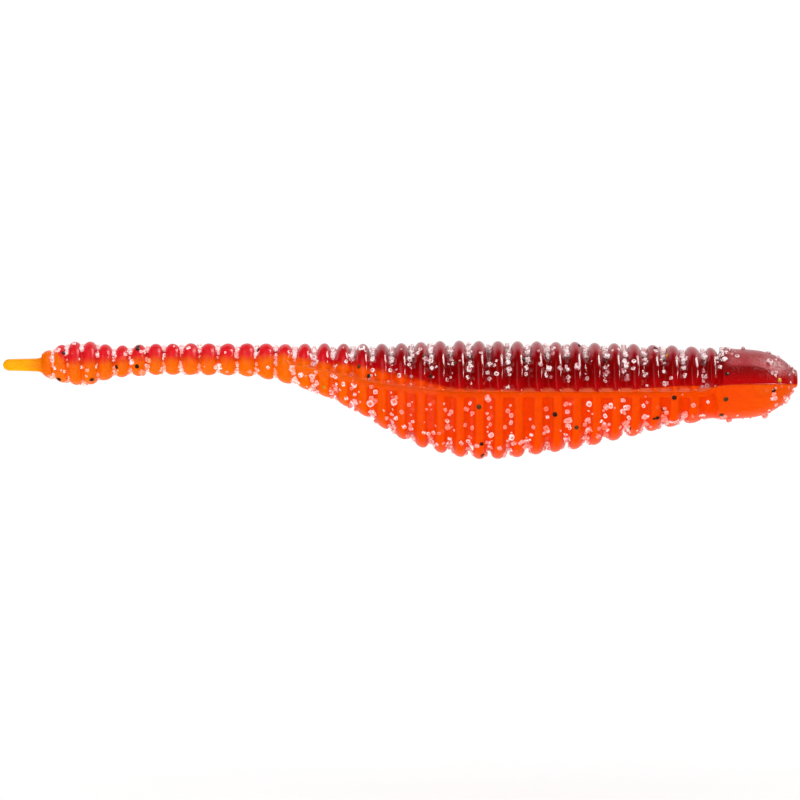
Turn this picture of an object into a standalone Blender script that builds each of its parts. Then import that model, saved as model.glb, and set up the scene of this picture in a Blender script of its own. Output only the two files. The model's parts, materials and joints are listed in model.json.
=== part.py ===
"""Soft plastic finesse worm: a smooth head, a ribbed body with a deep belly, and a slim ringed tail.

The bait is a two-colour moulding, red back over orange belly, that bends at the grooves between
its ribs. Here it is cut at the grooves that bend, into a chain of stiff segments. Each segment is
a back half and a belly half. Every segment has an empty on its flex axis, and its halves are
parented to that empty, so turning an empty bends the worm there.

Frame: the nose face is in the plane X = 0 and looks along +X, the tail runs along -X, the back
is up (+Z), and the worm is the same on both sides of Y = 0. The origin is the nose face's centre.
"""
import math

import bmesh
import bpy

# ---------------------------------------------------------------- driving dimensions, millimetres
# "at" is a distance from the nose face towards the tail.
MM = 0.001
PEG_END = 100.0            # whole length of the bait
CLUB_END = 95.05           # the ringed tail ends here and the peg begins

NOSE_FACE_RADIUS = 1.15    # small round boss with a flat face at the very front
NOSE_ARC_START = 0.25      # the head rounds off between these two distances
NOSE_ARC_END = 6.4
NOSE_RAIL_SHARE = 0.65     # on the nose face the rail is this far down
HEAD_END = 9.7             # smooth upper head, in front of the collar
CHEEK_END = 10.9           # smooth lower head
CHEEK_GAP = 0.3
COLLAR_START = 10.15       # the collar is on the back only
COLLAR_END = 11.6

RIB_COUNT = 36
EVEN_RIBS = 24             # ribs at an even pitch, counted from the head
FIRST_RIB = 13.3
EVEN_PITCH = 2.435
TAIL_PITCH_FIRST = 2.4     # the pitch then shrinks evenly towards the club
TAIL_PITCH_LAST = 1.8
# A rib's rounded profile: (its width over the pitch, relief), from the foot up to the crest.
RIB_PROFILE = ((0.60, 1.0), (0.49, 0.42), (0.24, 0.0))

LAMINATION_GAP = 0.3       # between the back halves and the belly halves
LEDGE = 0.3                # the back overhangs the belly by this much at the side rail
BACK_GROOVE = 1.35         # groove depths: on top of the back,
FLANK_GROOVE = 0.35        # on the belly's sides,
KEEL_GROOVE = 1.05         # under the belly,
TAIL_GROOVE = 0.78         # and all round the tail
BODY_GROOVES_END = 62.0    # the body's kind of groove ends here,
TAIL_GROOVES_START = 68.0  # and the tail's is fully reached here
CLUB_LEAN = math.radians(2.5)  # the last rings lean with the drooping tail
LEAN_START = 80.0

PEG_RADIUS = 0.82
PEG_HEIGHT = 1.75
PEG_GAP = 0.3

ARC_STEPS = 14             # facets over half a section
NOSE_STEPS = 7

# Outlines along the bait: (at, height or half-width), joined by smooth curves. The two head values
# are before the nose arc rounds them off.
TOP = ((0, 3.6), (6.4, 3.72), (13.3, 4.1), (23, 4.47), (35, 4.78), (44.9, 4.78), (50, 4.52),
       (56, 4.4), (64.5, 4.45), (75, 4.5), (81, 4.45), (85.3, 4.15), (87, 4.37), (88.8, 4.7),
       (90.7, 4.72), (92.6, 4.22), (94.4, 3.52), (95.05, 3.2))
BOTTOM = ((0, -4.7), (6.4, -4.95), (13.3, -5.6), (23.1, -7.8), (30.4, -9.25), (38.9, -10.15),
          (44.9, -9.35), (49.8, -7.6), (54.7, -4.6), (59.5, -2.2), (64.5, -0.6), (69.4, 0.3),
          (74, 0.44), (81, 0.44), (85.3, 0.19), (87, -0.18), (88.8, -0.7), (90.7, -0.82),
          (92.6, -0.44), (94.4, 0.18), (95.05, 0.55))
HALF_WIDTH = ((0, 4.3), (6.4, 4.55), (13.3, 5.15), (23, 5.5), (35, 5.8), (44.9, 5.75), (49.8, 5.1),
              (54.7, 3.95), (59.5, 3.0), (64.5, 2.4), (69.4, 2.04), (81, 2.0), (85.3, 1.98),
              (87, 2.27), (88.8, 2.7), (90.7, 2.77), (92.6, 2.33), (94.4, 1.67), (95.05, 1.32))
RAIL = ((0, -0.7), (7.2, -0.77), (9.5, -0.88), (11.2, -1.25), (12.2, -1.62), (14, -1.7),
        (42, -1.7), (47.5, -1.25), (53.2, -0.5), (57.7, 0.5), (62.6, 1.55), (65.5, 2.15),
        (70, 2.42), (81, 2.4), (88.8, 2.0), (95.05, 1.85))
BELLY_FULLNESS = ((0, 2.0), (12, 2.2), (20, 2.45), (45, 2.45), (58, 2.2), (66, 2.0), (95.05, 2.0))

# The chain, from the head to the tail: segment, its last rib, then the flex in front of it as
# "sway" (to the sides) or "lift" (up and down) and its range to each side in degrees.
SEGMENTS = (
    ("front", 6, None, 0), ("girth_1", 9, "sway", 6), ("girth_2", 12, "lift", 6),
    ("girth_3", 15, "sway", 6), ("girth_4", 17, "lift", 6), ("waist_1", 19, "sway", 8),
    ("waist_2", 21, "lift", 10), ("waist_3", 23, "sway", 15), ("tail_1", 25, "lift", 15),
    ("tail_2", 27, "sway", 15), ("tail_3", 29, "lift", 15), ("tail_4", 31, "sway", 15),
    ("tail_club", 36, "lift", 15),
)
FLEX_MARGIN = 0.12         # clearance left between two segments at the end of their flex

CHERRY_RED = (0.42, 0.004, 0.012)
ORANGE = (1.0, 0.10, 0.004)
AMBER = (1.0, 0.36, 0.01)


# ---------------------------------------------------------------- curves and sections
def smooth_through(points, at):
    """The height at a distance, on the monotone cubic curve through the outline's points."""
    if at <= points[0][0]:
        return points[0][1]
    if at >= points[-1][0]:
        return points[-1][1]
    slopes = [(b[1] - a[1]) / (b[0] - a[0]) for a, b in zip(points, points[1:])]
    tangents = [slopes[0]]
    for before, after in zip(slopes, slopes[1:]):
        same_way = before * after > 0
        tangents.append(2 * before * after / (before + after) if same_way else 0.0)
    tangents.append(slopes[-1])
    i = max(k for k in range(len(points) - 1) if points[k][0] <= at)
    (x0, y0), (x1, y1) = points[i], points[i + 1]
    span = x1 - x0
    t = (at - x0) / span
    return ((2 * t ** 3 - 3 * t ** 2 + 1) * y0 + (t ** 3 - 2 * t ** 2 + t) * span * tangents[i]
            + (3 * t ** 2 - 2 * t ** 3) * y1 + (t ** 3 - t ** 2) * span * tangents[i + 1])


def smoothstep(low, high, value):
    t = min(max((value - low) / (high - low), 0.0), 1.0)
    return t * t * (3 - 2 * t)


def nose_arc(at):
    """How much of the full head size is reached at a distance: a quarter ellipse."""
    t = (at - NOSE_ARC_START) / (NOSE_ARC_END - NOSE_ARC_START)
    return math.sqrt(1 - (1 - min(max(t, 0.0), 1.0)) ** 2)


def outline(at):
    """Top, bottom, half-width and rail height of the rib crests at a distance."""
    top, bottom = smooth_through(TOP, at), smooth_through(BOTTOM, at)
    half_width, rail = smooth_through(HALF_WIDTH, at), smooth_through(RAIL, at)
    if at < NOSE_ARC_END:
        arc = nose_arc(at)
        top = max(top * arc, NOSE_FACE_RADIUS)
        bottom = min(bottom * arc, -NOSE_FACE_RADIUS)
        half_width = max(half_width * arc, NOSE_FACE_RADIUS)
        rail = max(rail, NOSE_RAIL_SHARE * bottom)
    return top, bottom, half_width, rail


def groove_depth(up, is_back, in_tail):
    """Depth of a full groove where the section's arc has climbed to up (0 at the rail, 1 at its middle)."""
    if is_back:
        body = BACK_GROOVE * up ** 0.6
    else:
        keel_share = smoothstep(0.6, 1.0, up)
        body = (FLANK_GROOVE + (KEEL_GROOVE - FLANK_GROOVE) * keel_share) * min(1.0, 3 * up)
    return body * (1 - in_tail) + TAIL_GROOVE * in_tail


def section(at, relief, is_back):
    """Points of one half's cross-section, from one side rail to the other.

    relief is 0 on a rib's crest and 1 in a groove.
    """
    top, bottom, half_width, rail = outline(at)
    in_tail = smoothstep(BODY_GROOVES_END, TAIL_GROOVES_START, at)
    in_body = smoothstep(HEAD_END, FIRST_RIB, at) * (1 - in_tail)
    if is_back:
        base = rail + LAMINATION_GAP / 2
        height = top - base
        width, power = half_width, 1.0
    else:
        base = rail - LAMINATION_GAP / 2
        height = base - bottom
        width = half_width - LEDGE * in_body
        power = 2.0 / smooth_through(BELLY_FULLNESS, at)
    lean = math.tan(CLUB_LEAN) * smoothstep(LEAN_START, CLUB_END, at)
    points = []
    for step in range(ARC_STEPS + 1):
        angle = math.pi * step / ARC_STEPS
        across, up = math.cos(angle), math.sin(angle)
        depth = relief * groove_depth(up, is_back, in_tail)
        y = math.copysign(abs(across) ** power, across) * (width - depth)
        rise = up ** power * (height - depth)
        z = base + rise if is_back else base - rise
        points.append((-at - lean * (z - rail), y, z))
    return points


# ---------------------------------------------------------------- where ribs and segments lie
def rib_centres():
    centres = [FIRST_RIB + EVEN_PITCH * i for i in range(EVEN_RIBS)]
    shrinking = RIB_COUNT - EVEN_RIBS
    for i in range(shrinking):
        share = i / (shrinking - 1)
        centres.append(centres[-1] + TAIL_PITCH_FIRST + (TAIL_PITCH_LAST - TAIL_PITCH_FIRST) * share)
    return centres


RIBS = rib_centres()


def groove_after(rib):
    """Distance of the groove behind a rib, counted from 1."""
    return (RIBS[rib - 1] + RIBS[rib]) / 2


def flex_axis_height(at):
    """The flex axis runs through the middle of the groove's core."""
    top = max(z for _, _, z in section(at, 1.0, True))
    bottom = min(z for _, _, z in section(at, 1.0, False))
    return (top + bottom) / 2


def flex_gap(at, flex, degrees):
    """The gap that two flat core faces need to bend by some degrees about an axis between them."""
    core = section(at, 1.0, True) + section(at, 1.0, False)
    middle = flex_axis_height(at)
    reach = max(abs(y) if flex == "sway" else abs(z - middle) for _, y, z in core)
    return 2 * reach * math.tan(math.radians(degrees) / 2) + FLEX_MARGIN


def rib_stations(first, last):
    """(at, relief) pairs over some ribs, each from its front foot over the crest to its rear foot."""
    stations = []
    for rib in range(first, last + 1):
        centre = RIBS[rib - 1]
        pitch = EVEN_PITCH if rib == 1 else centre - RIBS[rib - 2]
        stations += [(centre - pitch * width / 2, relief) for width, relief in RIB_PROFILE]
        stations += [(centre + pitch * width / 2, relief) for width, relief in reversed(RIB_PROFILE)]
    return stations


def head_stations(is_back):
    """The nose boss and the smooth head behind it."""
    end = HEAD_END if is_back else CHEEK_END
    stations = [(0.0, 0.0)]
    for i in range(1, NOSE_STEPS + 1):
        share = 1 - math.cos(math.pi / 2 * i / NOSE_STEPS)
        stations.append((NOSE_ARC_START + (NOSE_ARC_END - NOSE_ARC_START) * share, 0.0))
    return stations + [((NOSE_ARC_END + end) / 2, 0.0), (end, 0.0)]


def neck_stations(is_back):
    """Behind the head, the back has a low collar and the belly starts with a plain groove."""
    if not is_back:
        return [(CHEEK_END + CHEEK_GAP, 0.9)]
    edge = 0.3
    return [(COLLAR_START, 0.8), (COLLAR_START + edge, 0.0), (COLLAR_END - edge, 0.0),
            (COLLAR_END, 0.9)]


# ---------------------------------------------------------------- making objects
def plastisol(name, colour):
    """Soft translucent plastic with a wet gloss."""
    material = bpy.data.materials.new(name)
    material.use_nodes = True
    shader = material.node_tree.nodes["Principled BSDF"]
    shader.inputs["Base Color"].default_value = (*colour, 1.0)
    shader.inputs["Roughness"].default_value = 0.25
    shader.inputs["Metallic"].default_value = 0.0
    shader.inputs["Subsurface Weight"].default_value = 0.3
    return material


def loft(name, rings, holder, colour):
    """A closed solid through rings of points, capped flat, held by an empty."""
    bm = bmesh.new()
    loops = [[bm.verts.new([MM * c - o for c, o in zip(point, holder.matrix_world.translation)])
              for point in ring] for ring in rings]
    for ahead, behind in zip(loops, loops[1:]):
        for i in range(len(ahead)):
            j = (i + 1) % len(ahead)
            bm.faces.new((ahead[i], ahead[j], behind[j], behind[i]))
    bm.faces.new(loops[0])
    bm.faces.new(loops[-1])
    bmesh.ops.recalc_face_normals(bm, faces=bm.faces)
    mesh = bpy.data.meshes.new(name)
    bm.to_mesh(mesh)
    bm.free()
    mesh.shade_smooth()
    mesh.set_sharp_from_angle(angle=math.radians(30))
    mesh.materials.append(plastisol(f"{name}_plastic", colour))
    thing = bpy.data.objects.new(name, mesh)
    thing.parent = holder
    bpy.context.scene.collection.objects.link(thing)
    return thing


def half_loft(name, stations, is_back, holder):
    rings = [section(at, relief, is_back) for at, relief in stations]
    return loft(name, rings, holder, CHERRY_RED if is_back else ORANGE)


def empty_at(name, at, height, parent):
    """An empty on a flex axis, held by the empty in front of it."""
    empty = bpy.data.objects.new(name, None)
    empty.empty_display_size = 0.004
    empty.location = (-MM * at, 0.0, MM * height)
    if parent:
        empty.location -= parent.matrix_world.translation
        empty.parent = parent
    bpy.context.scene.collection.objects.link(empty)
    bpy.context.view_layer.update()
    return empty


def tail_peg(holder):
    """The amber peg: a thin round pin with a domed end."""
    start = CLUB_END + PEG_GAP
    sides, dome_steps = 12, 3
    centre = PEG_HEIGHT
    rings = []
    profile = [(start, PEG_RADIUS), (PEG_END - PEG_RADIUS, PEG_RADIUS * 0.92)]
    for i in range(1, dome_steps):
        turn = math.pi / 2 * i / dome_steps
        profile.append((PEG_END - PEG_RADIUS * (1 - math.sin(turn)), PEG_RADIUS * 0.92 * math.cos(turn)))
    profile.append((PEG_END, PEG_RADIUS * 0.25))
    for at, radius in profile:
        ring = []
        for i in range(sides):
            turn = 2 * math.pi * i / sides
            z = centre + radius * math.sin(turn)
            ring.append((-at - math.tan(CLUB_LEAN) * (z - centre), radius * math.cos(turn), z))
        rings.append(ring)
    flat_end = [(-PEG_END, y, z) for _, y, z in rings[-1]]
    return loft("tail_peg", rings[:-1] + [flat_end], holder, AMBER)


def build():
    for thing in list(bpy.data.objects):
        bpy.data.objects.remove(thing, do_unlink=True)
    holder = None
    first_rib = 1
    for index, (segment, last_rib, flex, degrees) in enumerate(SEGMENTS):
        if flex:
            at = groove_after(first_rib - 1)
            holder = empty_at(f"flex_{segment}", at, flex_axis_height(at), holder)
            back_start = belly_start = [(at + flex_gap(at, flex, degrees) / 2, 1.0)]
        else:
            holder = empty_at("flex_root", 0.0, 0.0, None)
            half_loft("head_back", head_stations(True), True, holder)
            half_loft("head_belly", head_stations(False), False, holder)
            back_start, belly_start = neck_stations(True), neck_stations(False)
        if index + 1 < len(SEGMENTS):
            next_at = groove_after(last_rib)
            end_gap = flex_gap(next_at, *SEGMENTS[index + 1][2:])
            end = [(next_at - end_gap / 2, 1.0)]
        else:
            end = [(CLUB_END, 0.6)]
        rest = rib_stations(first_rib, last_rib) + end
        half_loft(f"back_{segment}", back_start + rest, True, holder)
        half_loft(f"belly_{segment}", belly_start + rest, False, holder)
        first_rib = last_rib + 1
    tail_peg(holder)


build()
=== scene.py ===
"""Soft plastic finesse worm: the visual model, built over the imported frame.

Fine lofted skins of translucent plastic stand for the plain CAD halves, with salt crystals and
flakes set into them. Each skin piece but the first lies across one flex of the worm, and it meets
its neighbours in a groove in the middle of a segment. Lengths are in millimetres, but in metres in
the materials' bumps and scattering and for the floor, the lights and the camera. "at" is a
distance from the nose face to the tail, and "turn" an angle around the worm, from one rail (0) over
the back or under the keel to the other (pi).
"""
import json
import math
import bmesh
import bpy
import numpy as np
from mathutils import Matrix, Vector

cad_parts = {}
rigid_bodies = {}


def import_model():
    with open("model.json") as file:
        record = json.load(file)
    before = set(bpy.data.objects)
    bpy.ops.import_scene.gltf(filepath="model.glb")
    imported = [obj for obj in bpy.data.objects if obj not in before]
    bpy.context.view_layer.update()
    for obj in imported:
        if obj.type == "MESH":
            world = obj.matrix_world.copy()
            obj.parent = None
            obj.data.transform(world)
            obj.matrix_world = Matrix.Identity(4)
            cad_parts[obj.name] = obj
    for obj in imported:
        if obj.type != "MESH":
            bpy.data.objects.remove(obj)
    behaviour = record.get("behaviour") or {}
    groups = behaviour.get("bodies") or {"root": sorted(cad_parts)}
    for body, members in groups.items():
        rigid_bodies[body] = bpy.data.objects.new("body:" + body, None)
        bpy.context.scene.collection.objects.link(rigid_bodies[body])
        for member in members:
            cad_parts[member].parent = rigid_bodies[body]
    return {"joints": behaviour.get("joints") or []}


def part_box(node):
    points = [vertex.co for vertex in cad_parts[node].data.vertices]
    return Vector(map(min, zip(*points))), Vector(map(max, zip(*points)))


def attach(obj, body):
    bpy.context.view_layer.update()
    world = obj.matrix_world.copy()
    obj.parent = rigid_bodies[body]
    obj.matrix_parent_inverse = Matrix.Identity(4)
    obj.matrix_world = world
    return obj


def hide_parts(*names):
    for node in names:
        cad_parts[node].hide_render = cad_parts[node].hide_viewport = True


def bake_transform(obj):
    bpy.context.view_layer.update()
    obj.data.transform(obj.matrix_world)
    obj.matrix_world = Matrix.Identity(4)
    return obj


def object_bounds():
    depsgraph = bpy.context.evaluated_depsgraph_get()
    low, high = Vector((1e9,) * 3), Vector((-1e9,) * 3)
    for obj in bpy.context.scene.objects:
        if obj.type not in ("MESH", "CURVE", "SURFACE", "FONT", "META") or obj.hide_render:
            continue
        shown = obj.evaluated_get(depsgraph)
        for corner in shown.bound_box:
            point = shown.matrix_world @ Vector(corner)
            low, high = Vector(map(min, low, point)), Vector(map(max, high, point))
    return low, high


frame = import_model()
cad_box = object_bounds()

MM = 0.001
rng = np.random.default_rng(36)

# ---------------- the worm's outline
# The same outlines as the CAD solids: (at, height or half-width), joined by smooth curves.
CLUB_END = 95.05
PEG_END = -1000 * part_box("tail_peg")[0][0]
PEG_RADIUS = 0.82
PEG_HEIGHT = 1.75
NOSE_FACE_RADIUS, NOSE_FACE_ROUNDING = 1.15, 0.3
NOSE_ARC_START, NOSE_ARC_END = 0.25, 6.4
NOSE_RAIL_SHARE = 0.65
RIB_COUNT, EVEN_RIBS = 36, 24
FIRST_RIB, EVEN_PITCH = 13.3, 2.435
TAIL_PITCH_FIRST, TAIL_PITCH_LAST = 2.4, 1.8
TOP = ((0, 3.6), (6.4, 3.72), (13.3, 4.1), (23, 4.47), (35, 4.78), (44.9, 4.78), (50, 4.52),
       (56, 4.4), (64.5, 4.45), (75, 4.5), (81, 4.45), (85.3, 4.15), (87, 4.37), (88.8, 4.7),
       (90.7, 4.72), (92.6, 4.22), (94.4, 3.52), (95.05, 3.2))
BOTTOM = ((0, -4.7), (6.4, -4.95), (13.3, -5.6), (23.1, -7.8), (30.4, -9.25), (38.9, -10.15),
          (44.9, -9.35), (49.8, -7.6), (54.7, -4.6), (59.5, -2.2), (64.5, -0.6), (69.4, 0.3),
          (74, 0.44), (81, 0.44), (85.3, 0.19), (87, -0.18), (88.8, -0.7), (90.7, -0.82),
          (92.6, -0.44), (94.4, 0.18), (95.05, 0.55))
HALF_WIDTH = ((0, 4.3), (6.4, 4.55), (13.3, 5.15), (23, 5.5), (35, 5.8), (44.9, 5.75), (49.8, 5.1),
              (54.7, 3.95), (59.5, 3.0), (64.5, 2.4), (69.4, 2.04), (81, 2.0), (85.3, 1.98),
              (87, 2.27), (88.8, 2.7), (90.7, 2.77), (92.6, 2.33), (94.4, 1.67), (95.05, 1.32))
RAIL = ((0, -0.7), (7.2, -0.77), (9.5, -0.88), (11.2, -1.25), (12.2, -1.62), (14, -1.7),
        (42, -1.7), (47.5, -1.25), (53.2, -0.5), (57.7, 0.5), (62.6, 1.55), (65.5, 2.15),
        (70, 2.42), (81, 2.4), (88.8, 2.0), (95.05, 1.85))
BELLY_FULLNESS = ((0, 2.0), (12, 2.2), (20, 2.45), (45, 2.45), (58, 2.2), (66, 2.0), (95.05, 2.0))
CLUB_LEAN = math.radians(2.5)
LEAN_START = 80.0

# ---------------- relief
BODY_ENDS, TAIL_STARTS = 61.0, 67.0  # the body's flutes turn into the tail's rings here
COLLAR, COLLAR_FRONT, COLLAR_BACK = 10.93, 9.95, 11.9
# A round rib's width over its pitch.
RIB_SHARE = ((0, 0.82), (14, 0.82), (30, 0.78), (60, 0.78), (68, 0.84), (96, 0.84))
BACK_TOP_DEPTH, BACK_SIDE_DEPTH = 1.45, 0.8
FLANK_DEPTH = 0.36
KEEL_DEPTH = ((0, 0.2), (11.6, 0.3), (13, 0.65), (20, 1.05), (50, 1.1), (54, 0.8), (62, 0.65), (95, 0.65))
TAIL_DEPTH = ((0, 1.05), (84, 1.05), (88, 0.9), (92, 0.7), (95.05, 0.5))
TAIL_BACK_SHARE, TAIL_BELLY_SHARE = 0.95, 0.6
COLLAR_FRONT_SHARE = 0.6  # depth of the groove before the collar, as a share of a rib's
LEDGE = 0.24  # the band under the rail is set back this far
BAND = 0.55  # height of that plain band
CREASE_RIDGE = 0.10  # fine moulding flash along the rail
CHEEK_EDGE, CHEEK_SLANT = 11.2, 1.15  # rear edge of the cheeks, at the rail and how far it runs
EYE_AT, EYE_HEIGHT, EYE_RADIUS, EYE_DEPTH = 4.5, -0.65, 1.6, 0.11
RIB_UNEVENNESS = 0.05  # no two ribs are quite alike in height and place
AFTER_CLUB = 0.35  # the last ring's own half groove runs this far past the club
AROUND, AROUND_HEAD = 44, 84  # faces around each half
RING_INSET, RING_GAP = 0.015, 0.03  # a piece's end rings, and the nearest others, from its ends
# Height of the colour change above the rail, and how far it is blurred.
COLOUR_CHANGE = ((0, 0.0), (9.5, 0.03), (11.3, 0.1), (12.2, 0.7), (15, 0.75), (18, 0.55), (21, 0.3),
                 (25, 0.1), (33, 0.1), (40, 0.3), (44, 0.45), (46.3, 0.85), (49.5, 1.25), (52, 1.55),
                 (54.5, 1.65), (57, 1.4), (59.5, 1.0), (64, 0.95), (67, 0.4), (70, 0.05), (91.5, 0.1),
                 (92.6, 0.8), (93.5, 2.5), (95.05, 3.0))
COLOUR_BLUR = ((0, 0.1), (37, 0.14), (44, 0.3), (50, 0.5), (62, 0.5), (68, 0.75), (95.05, 0.75))


def curve(points, at):
    """Heights at some distances, on the monotone cubic curve through the outline's points."""
    x, y = np.array(points, float).T
    slope = np.diff(y) / np.diff(x)
    tangent = np.zeros(len(x))
    tangent[0], tangent[-1] = slope[0], slope[-1]
    before, after = slope[:-1], slope[1:]
    same_way = before * after > 0
    total = np.where(same_way, before + after, 1.0)
    tangent[1:-1] = np.where(same_way, 2 * before * after / total, 0.0)
    at = np.clip(at, x[0], x[-1])
    i = np.clip(np.searchsorted(x, at, side="right") - 1, 0, len(x) - 2)
    span = x[i + 1] - x[i]
    t = (at - x[i]) / span
    return ((2 * t ** 3 - 3 * t ** 2 + 1) * y[i] + (t ** 3 - 2 * t ** 2 + t) * span * tangent[i]
            + (3 * t ** 2 - 2 * t ** 3) * y[i + 1] + (t ** 3 - t ** 2) * span * tangent[i + 1])


def smoothstep(low, high, value):
    t = np.clip((value - low) / (high - low), 0.0, 1.0)
    return t * t * (3 - 2 * t)


def rib_centres():
    centres = [FIRST_RIB + EVEN_PITCH * i for i in range(EVEN_RIBS)]
    shrinking = RIB_COUNT - EVEN_RIBS
    for i in range(shrinking):
        share = i / (shrinking - 1)
        centres.append(centres[-1] + TAIL_PITCH_FIRST + (TAIL_PITCH_LAST - TAIL_PITCH_FIRST) * share)
    return np.array(centres)


RIBS = rib_centres()
# The collar counts as one more crest in front of the ribs. Grooves lie between crests.
CRESTS = np.concatenate(([COLLAR], RIBS))
GROOVES = np.concatenate(([COLLAR_FRONT, COLLAR_BACK], (RIBS[:-1] + RIBS[1:]) / 2,
                          [CLUB_END + AFTER_CLUB]))
RIB_LIFT = rng.uniform(-RIB_UNEVENNESS, RIB_UNEVENNESS, len(CRESTS))
RIB_SHIFT = rng.uniform(-RIB_UNEVENNESS, RIB_UNEVENNESS, len(CRESTS))
RIB_SHIFT[0] = 0.0


def rib_phase(at):
    """0 on the nearest crest's centre to 1 in the middle of a groove, and the crest's number."""
    i = np.clip(np.searchsorted(GROOVES, at, side="right") - 1, 0, len(CRESTS) - 1)
    centre = CRESTS[i] + RIB_SHIFT[i]
    edge = np.where(at > centre, GROOVES[i + 1], GROOVES[i])
    return np.clip((at - centre) / (edge - centre), 0.0, 1.0), i


def rod(phase, share, squareness):
    """Relief of a round-backed rod: 0 on its crest, 1 beside it."""
    t = np.clip(phase / share, 0.0, 1.0)
    return 1 - (1 - t ** squareness) ** (1 / squareness)


def wobble(at, turn, count, seed):
    """Small uneven swell of a hand-poured surface."""
    draw = np.random.default_rng(seed)
    swell = np.zeros(np.broadcast(at, turn).shape)
    for _ in range(count):
        along, around, phase = draw.uniform(0.4, 3.2), draw.integers(1, 7), draw.uniform(0, math.tau)
        swell = swell + np.sin(along * at + around * turn + phase)
    return swell / math.sqrt(count)


def back_relief(at, phase, up, off_rail):
    """Round ribs over the back, softer waves down its sides, and a sharp shelf above the rail."""
    crown = smoothstep(0.58, 0.95, up)
    depth = BACK_SIDE_DEPTH + (BACK_TOP_DEPTH - BACK_SIDE_DEPTH) * crown
    foot = 1 - smoothstep(0.4, 1.2, off_rail)
    foot_width = 0.97 - foot * (0.25 + 0.3 * (1 - smoothstep(16, 22, at)))
    wave, ribs = smoothstep(0.2 - 0.1 * foot, foot_width, phase), rod(phase, curve(RIB_SHARE, at), 2.0)
    sunk = (wave * (1 - crown) + ribs * crown) * depth * smoothstep(0.06, 0.38, off_rail)
    sunk = np.where(at < COLLAR, sunk * COLLAR_FRONT_SHARE, sunk)
    before_collar = depth * COLLAR_FRONT_SHARE * np.exp(-((at - COLLAR_FRONT) / 0.2) ** 2)
    return np.where(at < COLLAR_FRONT, before_collar * smoothstep(0.08, 0.5, off_rail), sunk)


def behind_cheeks(at, off_rail, keel):
    """0 on the cheeks to 1 behind their slanted rear edge, which softens towards the throat."""
    height_share = np.clip(off_rail / np.maximum(curve(RAIL, at) - curve(BOTTOM, at), 0.1), 0, 1)
    cheek_edge = CHEEK_EDGE - CHEEK_SLANT * np.sqrt(height_share)
    rounding = 0.12 + 0.5 * keel
    return smoothstep(cheek_edge - rounding, cheek_edge + rounding, at)


def belly_relief(at, phase, up, off_rail):
    """Shallow flutes down the flanks, deep grooves under the keel, and the band under the rail."""
    keel = smoothstep(0.62, 0.97, up)
    depth = FLANK_DEPTH + (curve(KEEL_DEPTH, at) - FLANK_DEPTH) * keel
    flutes = 0.12 * phase ** 2 + 0.85 * smoothstep(0.26, 0.62, phase)
    lobes = rod(phase, curve(RIB_SHARE, at), 2.2)
    sunk = np.where(at < COLLAR_BACK, 1.0, flutes * (1 - keel) + lobes * keel) * depth
    sunk = sunk * smoothstep(BAND, BAND + 0.25, off_rail)
    ledge = LEDGE * smoothstep(0.0, 0.22, off_rail) * (1 - 0.6 * smoothstep(BAND, BAND + 0.4, off_rail))
    return (sunk + ledge * (1 - smoothstep(0.5, 1.0, up))) * behind_cheeks(at, off_rail, keel)


def relief(at, up, off_rail, is_back):
    """How far the surface lies under the crests' outline."""
    phase, number = rib_phase(at)
    in_tail = smoothstep(BODY_ENDS, TAIL_STARTS, at)
    body = (back_relief if is_back else belly_relief)(at, phase, up, off_rail)
    tail = rod(phase, curve(RIB_SHARE, at), 2.0) * curve(TAIL_DEPTH, at)
    tail = tail * (TAIL_BACK_SHARE if is_back else 1 - (1 - TAIL_BELLY_SHARE) * smoothstep(0.2, 0.8, up))
    lift = RIB_LIFT[number] * (1 - smoothstep(0.4, 1.0, phase)) * smoothstep(0.2, 1.0, off_rail)
    ridge = CREASE_RIDGE * np.exp(-(off_rail / 0.09) ** 2) * (1 - in_tail) * smoothstep(0.5, 3, at)
    return body * (1 - in_tail) + tail * in_tail - np.where(at > COLLAR_FRONT, lift, 0.0) - ridge


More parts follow.
